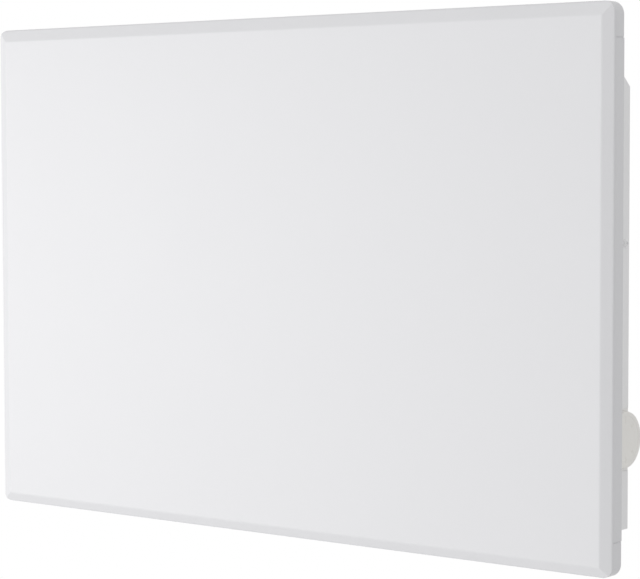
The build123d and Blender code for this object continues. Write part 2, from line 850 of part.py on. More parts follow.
def switch_grommet_centre():
    # In the housing's top wall, between the relay and the potentiometer.
    height = notch_high - housing_gap - housing_wall / 2
    return point(switch_lead_x, sum(switch_lead_backs) / 2, height)


def switch_grommet():
    # The same two-flanged bush, smaller and on its side, for the switch's two leads.
    centre = switch_grommet_centre()
    face = housing_wall / 2 + fastener_gap
    body = rod(centre - (0, 0, 2.2), centre + (0, 0, 2.2), switch_grommet_flange)
    waist = switch_grommet_radius - fastener_gap
    body = body - tube(centre - (0, 0, face), centre + (0, 0, face), switch_grommet_flange + 1, waist)
    for back in switch_lead_backs:
        place = point(switch_lead_x, back, centre.Z)
        body = body - rod(place - (0, 0, 4), place + (0, 0, 4), lead_radius + fastener_gap)
    return body


def cover_screws():
    return group([screw(seat, (0, 1, 0), 16, cover_screw) for seat in cover_screw_seats()])


def module_screws():
    return group([screw(seat, (0, 1, 0), 5, narrow_screw) for seat in module_screw_seats()])


# ---- rocker switch ----

def power_switch_body():
    # A snap-in frame with a bezel, pivot sockets and two blade terminals.
    half_depth = switch_opening[0] / 2
    half_height = switch_opening[1] / 2
    back = (switch_back - half_depth, switch_back + half_depth)
    z = (switch_height - half_height, switch_height + half_height)
    face = casing_half + switch_bezel
    bezel = block((casing_half, face), (back[0] - 1.2, back[1] + 1.2), (z[0] - 1.5, z[1] + 1.5))
    body = block((switch_inner, face), back, z) + chamfer(bezel.edges().group_by(Axis.X)[-1], 0.7)
    mouth_back = (back[0] + switch_wall, back[1] - switch_wall)
    mouth_z = (z[0] + switch_wall / 2, z[1] - switch_wall / 2)
    body = body - block((switch_inner + 2, face + 1), mouth_back, mouth_z)
    pivot = point(rocker_pivot, switch_back, switch_height)
    body = body - rod(pivot - (0, 6.2, 0), pivot + (0, 6.2, 0), 1.25)
    for side in (-1, 1):
        tip = switch_blade_tip(side)
        blade = (switch_back - 2.4, switch_back + 2.4)
        body = body + block((tip.X, switch_inner), blade, (tip.Z - 0.4, tip.Z + 0.4))
    return body


def switch_blade_tip(side):
    return point(switch_inner - switch_blade, switch_back, switch_height + side * switch_blade_lift)


def power_switch_rocker():
    # Drawn level about its pivot, then tilted to its resting side.
    outline = [(-4, -6.8), (2.9, -8.9), (1.1, 0), (2.9, 8.9), (-4, 6.8)]
    points = [(rocker_pivot + x, switch_height + z) for x, z in outline]
    half_depth = switch_opening[0] / 2 - switch_wall - 0.3
    axis = point(rocker_pivot, switch_back, switch_height)
    body = prism_y(points, (switch_back - half_depth, switch_back + half_depth))
    body = body + rod(axis - (0, 6.1, 0), axis + (0, 6.1, 0), 1.2)
    return body.rotate(Axis(axis, (0, 1, 0)), rocker_tilt)


# ---- leads inside the casing ----

def lead(points, bend=lead_bend):
    path = FilletPolyline(*points, radius=bend)
    section = Plane(path @ 0, z_dir=path % 0) * Circle(lead_radius)
    return sweep(section, path=path)


def limiter_tab(side):
    # The lower end of one of the limiter's blade terminals.
    low = shelf_under - limiter_body_height - limiter_tab_length
    return point(limiter_x + side * limiter_tab_offset, limiter_back, low)


def rod_tip(side):
    return point(element_end(side, -8 - rod_pin_length), element_back, element_height)


def live_lead():
    start = lead_passes()[0]
    tab = limiter_tab(-1)
    return lead([
        start + (10, 0, 0),
        start - (14, 0, 0),
        Vector(start.X - 14, depth(36), 128),
        Vector(tab.X, tab.Y, 160),
        tab,
    ])


def limiter_lead():
    tab = limiter_tab(1)
    end = rod_tip(1)
    return lead([
        tab,
        Vector(tab.X, tab.Y, 203),
        Vector(tab.X, depth(24), 180),
        point(212, 24, 150),
        end + (8, 0, 25),
        end + (8, 0, 0),
        end,
    ], bend=4)


def neutral_lead():
    start = lead_passes()[1]
    end = rod_tip(-1)
    return lead([
        start + (10, 0, 0),
        start - (12, 0, 0),
        Vector(start.X - 12, depth(clip_back), clip_height),
        Vector(end.X - 13, depth(clip_back), clip_height),
        end - (13, 0, 0),
        end,
    ])


def switch_leads():
    # From the switch's blades down through the top of the thermostat's housing.
    near, far = switch_lead_backs
    low = board_high - 5
    upper = lead([
        switch_blade_tip(1),
        switch_blade_tip(1) - (11.5, 0, 0),
        point(247, 31, 124),
        point(switch_lead_x, near, 116),
        point(switch_lead_x, near, low),
    ], bend=3)
    lower = lead([
        switch_blade_tip(-1),
        switch_blade_tip(-1) - (6, 0, 0),
        point(254, far, 120),
        point(switch_lead_x, far, 114),
        point(switch_lead_x, far, low),
    ], bend=3)
    return group([upper, lower])


def earth_seat():
    return point(earth_x, casing_back, earth_height)


def earth_lead():
    start = lead_passes()[2]
    tag = earth_tag()
    return lead([
        start + (10, 0, 0),
        start - (12, 0, 0),
        start + (-12, 3, -24),
        tag - (15.5, 0, 0),
        tag,
    ], bend=6)


def earth_tag():
    # Where the earth lead meets its ring tag.
    return earth_seat() - (4.5, 4.1, 0)


def earth_terminal():
    # A screw through the back wall with a washer, the lead's ring tag and a nut inside.
    seat = earth_seat()
    shank = small_screw[0]
    end = earth_tag()
    bolt = screw(seat, (0, 1, 0), 7, small_screw)
    tag = tube(seat - (0, 3.3, 0), seat - (0, 2.5, 0), 4.2, shank)
    barrel = (casing_back - 4.6, casing_back - 2.5)
    tag = tag + block((end.X, end.X + 1.5), barrel, (end.Z - 1, end.Z + 1))
    nut_plane = Plane(seat - (0, 6, 0), z_dir=(0, 1, 0))
    nut = extrude(nut_plane * (RegularPolygon(3.4, 6) - Circle(shank)), amount=2.4)
    washer = tube(seat - (0, 2.3, 0), seat - (0, 1.2, 0), 4.0, shank)
    return group([bolt, tag, nut, washer])


def lead_clips():
    # Small P-clips on the floor of the pan, which hold the long lead.
    clips = []
    floor = casing_bottom + casing_sheet
    for x in clip_places:
        axis = point(x, clip_back, clip_height)
        half = Vector(clip_width / 2, 0, 0)
        strap = tube(axis - half, axis + half, lead_radius + 1.1, lead_radius + fastener_gap)
        span = (x - clip_width / 2, x + clip_width / 2)
        leg = block(span, (clip_back - 0.8, clip_back + 0.8), (floor, clip_height - lead_radius - 0.4))
        foot = block(span, (clip_back - 3, clip_back + 3), (floor, floor + 1))
        clips.append(strap + leg + foot)
    return group(clips)


# ---- wall bracket ----

def bracket_rail(side):
    # A channel with its web on the wall, two legs towards the heater, and a hook on each leg.
    wall = front_to_wall
    rail = block((-rail_half, rail_half), (wall - rail_sheet, wall), (rail_low, rail_high))
    for x in (-hook_x, hook_x):
        rail = rail + prism_x(leg_outline(), (x - rail_sheet / 2, x + rail_sheet / 2))
    seat_z = (spring_seat_height, spring_seat_height + rail_sheet)
    rail = rail + block((-hook_x, hook_x), (catch_axis_back - 7, wall - 1), seat_z)
    guide_back = (catch_axis_back - catch_sheet / 2 - 0.3, catch_axis_back + catch_sheet / 2 + 0.3)
    guide_z = (catch_ear_low - catch_travel - 0.4, catch_ear_low + catch_ear_height + 0.1)
    rail = rail - block((-rail_half - 1, rail_half + 1), guide_back, guide_z)
    rail = Pos(side * rail_x, 0, 0) * rail
    for z in (screw_group_height - screw_group_rise / 2, screw_group_height + screw_group_rise / 2):
        shape = SlotOverall(screw_slot_length, 2 * screw_slot_radius)
        face = Plane(point(side * rail_x, wall, z), x_dir=(1, 0, 0), z_dir=(0, 1, 0))
        rail = rail - extrude(face * shape, amount=4, both=True)
    for seat in crossbar_rivet_seats(side):
        rail = rail - rod(seat - (4, 0, 0), seat + (4, 0, 0), rivet[0])
    return rail


def leg_outline():
    # From the wall up over the upper shoulder, down the waist, round the hook and back.
    wall = front_to_wall
    inside = casing_inner_back - hook_gap
    tip = inside - hook_sheet
    outline = [(wall, rail_low), (wall, rail_high), (rail_front + 4, rail_high)]
    outline += [(rail_front, rail_high - 6), (rail_front, shoulder_low), (rail_waist, waist_high)]
    outline += [(rail_waist, waist_low), (rail_front, hook_shoulder), (rail_front, hook_height)]
    outline += [(inside, hook_height), (inside, hook_height + hook_lift)]
    outline += [(tip, hook_height + hook_lift - 2), (tip, hook_height - hook_lift)]
    outline += [(rail_front, hook_height - hook_lift), (rail_front, rail_low + 8), (rail_front + 8, rail_low)]
    return outline


def crossbar_rivet_seats(side):
    x = side * (rail_x - rail_half)
    lifts = (-crossbar_rivet_lift, crossbar_rivet_lift)
    return [point(x, crossbar_rivet_back, z + lift) for z in crossbar_heights for lift in lifts]


def bracket_crossbar(height):
    # A flat bar on the wall with an end turned forwards against each rail.
    reach = rail_x - rail_half
    z = (height - crossbar_half, height + crossbar_half)
    bar = block((-reach, reach), (front_to_wall - rail_sheet, front_to_wall), z)
    for side in (-1, 1):
        ends = (side * (reach - rail_sheet), side * reach)
        bar = bar + block(ends, (front_to_wall - crossbar_tab, front_to_wall), z)
        for seat in crossbar_rivet_seats(side):
            bar = bar - rod(seat - (4, 0, 0), seat + (4, 0, 0), rivet[0])
    return bar


def bracket_rivets():
    pieces = []
    for side in (-1, 1):
        for seat in crossbar_rivet_seats(side):
            start = seat + (side * rail_sheet, 0, 0)
            pieces.append(rivet_through(start, (side, 0, 0), 2 * rail_sheet))
    return group(pieces)


def release_catch(side):
    # A slider between the rail's legs; its nose passes the casing's window and rises behind the wall.
    x = side * rail_x
    across = (x - catch_width / 2, x + catch_width / 2)
    nose = (x - catch_lip_width / 2, x + catch_lip_width / 2)
    back = (catch_axis_back - catch_sheet / 2, catch_axis_back + catch_sheet / 2)
    lip_front = casing_inner_back - hook_gap - catch_sheet
    arm_z = (catch_ear_low - 4, catch_ear_low)
    body = block(across, back, (catch_low, catch_high))
    ears_z = (catch_ear_low, catch_ear_low + catch_ear_height)
    ears = block((x - rail_half - 1.5, x + rail_half + 1.5), back, ears_z)
    thumb = block(across, (back[0] - 7, back[1]), (catch_high - catch_sheet, catch_high))
    thumb = fillet(thumb.edges().filter_by(Axis.X), 1.2)
    arm = block(nose, (lip_front, back[0] + 1), arm_z)
    lip = block(nose, (lip_front, lip_front + catch_sheet), (arm_z[0], arm_z[0] + catch_lip_height))
    lip = chamfer(lip.edges().filter_by(Axis.X).group_by(Axis.Z)[-1], 1.2)
    foot = point(x, catch_axis_back, catch_low)
    peg = rod(foot - (0, 0, 10), foot + (0, 0, 1), catch_peg)
    corner = (back[0], arm_z[1])
    gusset_outline = [corner, (corner[0], corner[1] + 8), (corner[0] - 8, corner[1])]
    gusset = prism_x(gusset_outline, (x - catch_sheet / 2, x + catch_sheet / 2))
    return body + ears + thumb + arm + lip + peg + gusset


def biarc(start, start_way, end, end_way):
    # Two arcs that leave and arrive along the given directions.
    gap = end - start
    ways = start_way + end_way
    bend = 2 * (1 - start_way.dot(end_way))
    reach = (-gap.dot(ways) + math.sqrt(gap.dot(ways) ** 2 + bend * gap.dot(gap))) / bend
    middle = (start + end + (start_way - end_way) * reach) * 0.5
    first = Edge.make_tangent_arc(start, start_way, middle)
    second = Edge.make_tangent_arc(middle, middle_way(start, start_way, middle), end)
    return [first, second]


def middle_way(start, way, end):
    # The direction in which an arc that leaves start along way reaches end.
    chord = (end - start).normalized()
    return (chord * (2 * way.dot(chord)) - way).normalized()


def catch_spring(side):
    # A coil from the seat up to the catch, made of two arcs for each quarter turn.
    low = spring_seat_height + rail_sheet + spring_wire
    high = catch_low - spring_wire
    steps = 4 * spring_turns
    rise = (high - low) / steps
    slope = rise / (spring_radius * math.pi / 2)
    places = []
    ways = []
    for i in range(steps + 1):
        angle = i * math.pi / 2
        across = spring_radius * math.cos(angle)
        along = spring_radius * math.sin(angle)
        places.append(point(side * rail_x + across, catch_axis_back + along, low + rise * i))
        ways.append(Vector(-math.sin(angle), math.cos(angle), slope).normalized())
    arcs = []
    for i in range(steps):
        arcs += biarc(places[i], ways[i], places[i + 1], ways[i + 1])
    path = Wire(arcs)
    print_least_gap(f"spring {side}", path, 2 * spring_wire)
    section = Plane(path @ 0, z_dir=path % 0) * Circle(spring_wire)
    return sweep(section, path=path)


def print_least_gap(name, path, thickness):
    # Measured between points on the path that are at least half a turn apart along it.
    count = 24 * spring_turns
    places = [path @ (i / count) for i in range(count + 1)]
    gaps = [(a - b).length for i, a in enumerate(places) for b in places[i + 12:]]
    print(name, "least gap to itself", round(min(gaps) - thickness, 2))


# ---- export ----

def export_node(name, shape):
    solids = shape.solids()
    whole = solids[0] if len(solids) == 1 else group(solids)
    whole = whole.moved(Location((0, 0, -screw_group_height)))
    whole.label = name
    export_step(whole, f"parts/{name}.step")
    print(name, len(solids), round(sum(s.volume for s in solids)))


def nodes():
    yield "front_panel", front_panel()
    yield "panel_screws", panel_screws()
    yield "rear_casing", rear_casing()
    yield "heat_shield", heat_shield()
    yield "shield_screws", shield_screws()
    yield "element_fins", element_fins()
    yield "heating_rod", heating_rod()
    yield "element_insulator_left", element_insulator(-1)
    yield "element_insulator_right", element_insulator(1)
    yield "element_bracket_left", element_bracket(-1)
    yield "element_bracket_right", element_bracket(1)
    yield "rear_reflector", rear_reflector()
    yield "element_fasteners", element_fasteners()
    yield "limiter_bracket", limiter_bracket()
    yield "overheat_limiter", overheat_limiter()
    yield "limiter_screw", limiter_screw()
    yield "limiter_rivets", limiter_rivets()
    yield "thermostat_housing", thermostat_housing()
    yield "thermostat_cover", thermostat_cover()
    yield "thermostat_dial", thermostat_dial()
    yield "dial_spindle", dial_spindle()
    yield "potentiometer", potentiometer()
    yield "circuit_board", circuit_board()
    yield "relay", relay()
    yield "suppression_capacitor", suppression_capacitor()
    yield "terminal_block", terminal_block()
    yield "room_sensor", room_sensor()
    yield "cable_gland", cable_gland()
    yield "lead_grommet", lead_grommet()
    yield "switch_grommet", switch_grommet()
    yield "cover_screws", cover_screws()
    yield "module_screws", module_screws()
    yield "power_switch_body", power_switch_body()
    yield "power_switch_rocker", power_switch_rocker()
    yield "live_lead", live_lead()
    yield "limiter_lead", limiter_lead()
    yield "neutral_lead", neutral_lead()
    yield "earth_lead", earth_lead()
    yield "switch_leads", switch_leads()
    yield "earth_terminal", earth_terminal()
    yield "lead_clips", lead_clips()
    yield "bracket_rivets", bracket_rivets()
    for name, side in (("left", -1), ("right", 1)):
        yield f"bracket_rail_{name}", bracket_rail(side)
        yield f"release_catch_{name}", release_catch(side)
        yield f"catch_spring_{name}", catch_spring(side)
    for name, height in zip(("lower", "upper"), crossbar_heights):
        yield f"bracket_crossbar_{name}", bracket_crossbar(height)


os.makedirs("parts", exist_ok=True)
for node_name, node_shape in nodes():
    export_node(node_name, node_shape)
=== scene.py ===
import json
import math

import bmesh
import bpy
from mathutils import Matrix, Vector


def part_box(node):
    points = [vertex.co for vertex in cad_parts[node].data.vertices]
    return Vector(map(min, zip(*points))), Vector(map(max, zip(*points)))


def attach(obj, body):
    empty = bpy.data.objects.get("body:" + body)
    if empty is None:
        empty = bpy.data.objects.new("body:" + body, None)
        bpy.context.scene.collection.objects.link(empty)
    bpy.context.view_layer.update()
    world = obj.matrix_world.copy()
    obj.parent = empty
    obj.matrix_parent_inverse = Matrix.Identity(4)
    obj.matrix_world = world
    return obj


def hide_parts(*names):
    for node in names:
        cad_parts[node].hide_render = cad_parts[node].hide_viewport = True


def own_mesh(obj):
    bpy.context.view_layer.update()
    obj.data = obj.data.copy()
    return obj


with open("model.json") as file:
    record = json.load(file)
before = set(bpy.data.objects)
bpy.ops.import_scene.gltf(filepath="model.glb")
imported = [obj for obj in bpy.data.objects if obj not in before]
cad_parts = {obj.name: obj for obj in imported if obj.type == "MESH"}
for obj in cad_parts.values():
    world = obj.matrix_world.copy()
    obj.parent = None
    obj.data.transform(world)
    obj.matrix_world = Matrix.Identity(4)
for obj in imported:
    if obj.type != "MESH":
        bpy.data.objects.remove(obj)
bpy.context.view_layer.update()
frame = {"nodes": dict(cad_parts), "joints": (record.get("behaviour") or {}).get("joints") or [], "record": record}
print("frame loaded with", len(frame["nodes"]), "nodes")

camera = {
    "place": (1.06884, -1.38628, 0.10745),   # metres from the middle of the wall screws
    "turn": 38.110,      # degrees to the left of looking straight at the wall
    "dip": 3.444,        # degrees below level
    "lean": -0.135,
    "lens": 127.03,      # millimetres, on a sensor 36 wide
}


def addCamera(view):
    data = bpy.data.cameras.new("camera")
    data.lens = view["lens"]
    eye = bpy.data.objects.new("camera", data)
    bpy.context.scene.collection.objects.link(eye)
    turn = Matrix.Rotation(math.radians(view["turn"]), 4, "Z")
    dip = Matrix.Rotation(math.radians(90 - view["dip"]), 4, "X")
    lean = Matrix.Rotation(math.radians(view["lean"]), 4, "Z")
    eye.matrix_world = Matrix.Translation(view["place"]) @ turn @ dip @ lean
    bpy.context.scene.camera = eye


addCamera(camera)


class Wire:
    # One output of a shader tree. Sums and products of wires add their own Math nodes.
    def __init__(self, socket):
        self.socket = socket

    def node(self, kind, inputs=None, output=0, stops=None, **settings):
        tree = self.socket.id_data
        made = tree.nodes.new(kind)
        for name, value in settings.items():
            setattr(made, name, value)
        if stops:
            fillRamp(made.color_ramp, stops)
        for name, value in (inputs or {}).items():
            if isinstance(value, Wire):
                tree.links.new(value.socket, made.inputs[name])
            else:
                made.inputs[name].default_value = value
        return Wire(made.outputs[output])

    def maths(self, operation, first, second):
        return self.node("ShaderNodeMath", {0: first, 1: second}, operation=operation)

    def __add__(self, other):
        return self.maths("ADD", self, other)

    def __radd__(self, other):
        return self.maths("ADD", other, self)

    def __sub__(self, other):
        return self.maths("SUBTRACT", self, other)

    def __rsub__(self, other):
        return self.maths("SUBTRACT", other, self)

    def __mul__(self, other):
        return self.maths("MULTIPLY", self, other)

    def __rmul__(self, other):
        return self.maths("MULTIPLY", other, self)


def fillRamp(ramp, stops):
    while len(ramp.elements) < len(stops):
        ramp.elements.new(0.5)
    for element, (place, grey) in zip(ramp.elements, stops):
        element.position = place
        element.color = (grey, grey, grey, 1)


def mixed(amount, first, second):
    return amount.node("ShaderNodeMix", {0: amount, 6: first, 7: second}, output=2, data_type="RGBA")


def shade(colour, factor):
    return tuple(min(1, channel * factor) for channel in colour[:3]) + (1,)


def speckle(place, size, detail=2.0, roughness=0.5):
    # Noise whose lumps are about this many metres across.
    return place.node("ShaderNodeTexNoise", {
        "Vector": place, "Scale": 1 / size, "Detail": detail, "Roughness": roughness,
    })


def stretched(place, scale):
    return place.node("ShaderNodeMapping", {"Vector": place, "Scale": scale})


def bumped(height, distance, strength=1.0, under=None):
    inputs = {"Height": height, "Distance": distance, "Strength": strength}
    if under:
        inputs["Normal"] = under
    return height.node("ShaderNodeBump", inputs)


def newFinish(name):
    material = bpy.data.materials.new(name)
    material.use_nodes = True
    tree = material.node_tree
    place = Wire(tree.nodes.new("ShaderNodeTexCoord").outputs["Object"])
    return material, tree.nodes["Principled BSDF"], place


def wear(shader, sockets):
    # Plain values go onto the shader's own sockets, and wires are linked to them.
    for name, value in sockets.items():
        if isinstance(value, Wire):
            shader.id_data.links.new(value.socket, shader.inputs[name])
        else:
            shader.inputs[name].default_value = value


def powderCoat(name, look):
    # Satin stoved paint: a faint broad mottle, an orange peel and a fine grit.
    material, shader, place = newFinish(name)
    dark, light = 0.985, 1.012
    mottle = speckle(place, look["mottle"], 3.0)
    peel = speckle(place, look["peel"], 1.0)
    grit = speckle(place, look["grit"], 2.0, 0.6)
    soft = bumped(peel, look["peelHeight"])
    wear(shader, {
        "Base Color": mixed(mottle, shade(look["colour"], dark), shade(look["colour"], light)),
        "Roughness": look["roughness"] + 0.05 * (grit - 0.5) + 0.06 * (mottle - 0.5),
        "Normal": bumped(grit, look["gritHeight"], 1.0, soft),
        "IOR": 1.5,
    })
    return material


def mouldedPlastic(name, look):
    # A spark-eroded grain with slight flow shading.
    material, shader, place = newFinish(name)
    dark, light, flowSize = 0.97, 1.02, 0.03
    grain = speckle(place, look["grain"], 3.0, 0.65)
    flow = speckle(place, flowSize, 2.0)
    wear(shader, {
        "Base Color": mixed(flow, shade(look["colour"], dark), shade(look["colour"], light)),
        "Roughness": look["roughness"] + 0.12 * (grain - 0.5),
        "Normal": bumped(grain, look["grainHeight"]),
        "IOR": 1.46,
    })
    return material


def spangledZinc(name, look):
    # Hot-dip galvanised sheet: flat crystals that differ in shade and gloss, with rolling lines.
    material, shader, place = newFinish(name)
    dark, light, lineSize, lineDepth = 0.86, 1.08, 0.0006, 0.000008
    drift = place.node("ShaderNodeTexNoise", {"Vector": place, "Scale": 1 / look["crystal"]}, output=1)
    ragged = place.node("ShaderNodeVectorMath", {
        0: drift, 1: (look["raggedness"],) * 3, 2: place,
    }, operation="MULTIPLY_ADD")
    crystal = place.node("ShaderNodeTexVoronoi", {
        "Vector": ragged, "Scale": 1 / look["crystal"],
    }, output=1)
    tone = crystal.node("ShaderNodeSeparateColor", {"Color": crystal})
    lines = speckle(stretched(place, look["rolled"]), lineSize, 2.0)
    wear(shader, {
        "Base Color": mixed(tone, shade(look["colour"], dark), shade(look["colour"], light)),
        "Metallic": 0.85,
        "Roughness": look["roughness"] + 0.16 * (tone - 0.5) + 0.05 * (lines - 0.5),
        "Normal": bumped(lines, lineDepth),
    })
    return material


def platedSteel(name, look):
    # Bright zinc plating, or plain drawn metal, with fine scratches along one axis.
    material, shader, place = newFinish(name)
    dark, light, cloudSize, scratchDepth = 0.9, 1.05, 0.006, 0.000006
    scratches = speckle(stretched(place, look["along"]), look["scratch"], 3.0, 0.6)
    cloud = speckle(place, cloudSize, 2.0)
    wear(shader, {
        "Base Color": mixed(cloud, shade(look["colour"], dark), shade(look["colour"], light)),
        "Metallic": look["metallic"],
        "Roughness": look["roughness"] + 0.14 * (scratches - 0.5) + 0.08 * (cloud - 0.5),
        "Normal": bumped(scratches, scratchDepth),
    })
    return material


def unglazedCeramic(name, look):
    # Matt fired clay with fine pores and a faint stain.
    material, shader, place = newFinish(name)
    dark, light, poreSize, poreDepth, stainSize = 0.93, 1.03, 0.0005, 0.00003, 0.006
    pores = speckle(place, poreSize, 4.0, 0.7)
    stain = speckle(place, stainSize, 2.0)
    wear(shader, {
        "Base Color": mixed(stain, shade(look["colour"], dark), shade(look["colour"], light)),
        "Roughness": look["roughness"] + 0.1 * (pores - 0.5),
        "Normal": bumped(pores, poreDepth),
    })
    return material


def heatTinted(name, look):
    # Straw and brown bands along a drawn sheath.
    material, shader, place = newFinish(name)
    bandSize, drawnSize, drawnDepth = 0.02, 0.0004, 0.000008
    band = speckle(stretched(place, (0.35, 1, 1)), bandSize, 3.0)
    film = band.node("ShaderNodeValToRGB", {"Fac": band}, stops=[(0.3, 0.0), (0.7, 1.0)])
    drawn = speckle(stretched(place, (0.04, 1, 1)), drawnSize, 2.0)
    wear(shader, {
        "Base Color": mixed(film, look["colour"] + (1,), look["tint"] + (1,)),
        "Metallic": 0.9,
        "Roughness": look["roughness"] + 0.12 * (drawn - 0.5),
        "Normal": bumped(drawn, drawnDepth),
    })
    return material


def circuitLacquer(name, look):
    # Solder mask over copper tracks, which stand a little proud of the board.
    material, shader, place = newFinish(name)
    trackHeight, stainSize = 0.00004, 0.001
    tracks = place.node("ShaderNodeTexBrick", {
        "Vector": stretched(place, (1, 0, 1)), "Scale": 1 / look["track"], "Mortar Size": 0.2,
        "Color1": (0, 0, 0, 1), "Color2": (0.1, 0.1, 0.1, 1), "Mortar": (1, 1, 1, 1),
    })
    wear(shader, {
        "Base Color": mixed(tracks, look["colour"] + (1,), look["trackColour"] + (1,)),
        "Roughness": look["roughness"] + 0.1 * (speckle(place, stainSize) - 0.5),
        "Normal": bumped(tracks, trackHeight),
        "Coat Weight": 0.3,
    })
    return material


def siliconeLead(name, look):
    # Soft insulation: a dull skin, with a second colour wound round it where the lead has one.
    material, shader, place = newFinish(name)
    dark, light, skinSize, skinDepth = 0.92, 1.05, 0.0006, 0.00001
    skin = speckle(place, skinSize, 3.0)
    base = mixed(skin, shade(look["colour"], dark), shade(look["colour"], light))
    if "stripe" in look:
        waves = place.node("ShaderNodeTexWave", {
            "Vector": place, "Scale": 1 / look["stripeEvery"], "Distortion": 0.0,
        }, wave_type="BANDS", bands_direction="DIAGONAL", wave_profile="SAW")
        mask = waves.node("ShaderNodeValToRGB", {"Fac": waves}, stops=[(0.48, 0.0), (0.52, 1.0)])
        base = mixed(mask, base, look["stripe"] + (1,))
    wear(shader, {
        "Base Color": base,
        "Roughness": look["roughness"] + 0.1 * (skin - 0.5),
        "Normal": bumped(skin, skinDepth),
    })
    return material


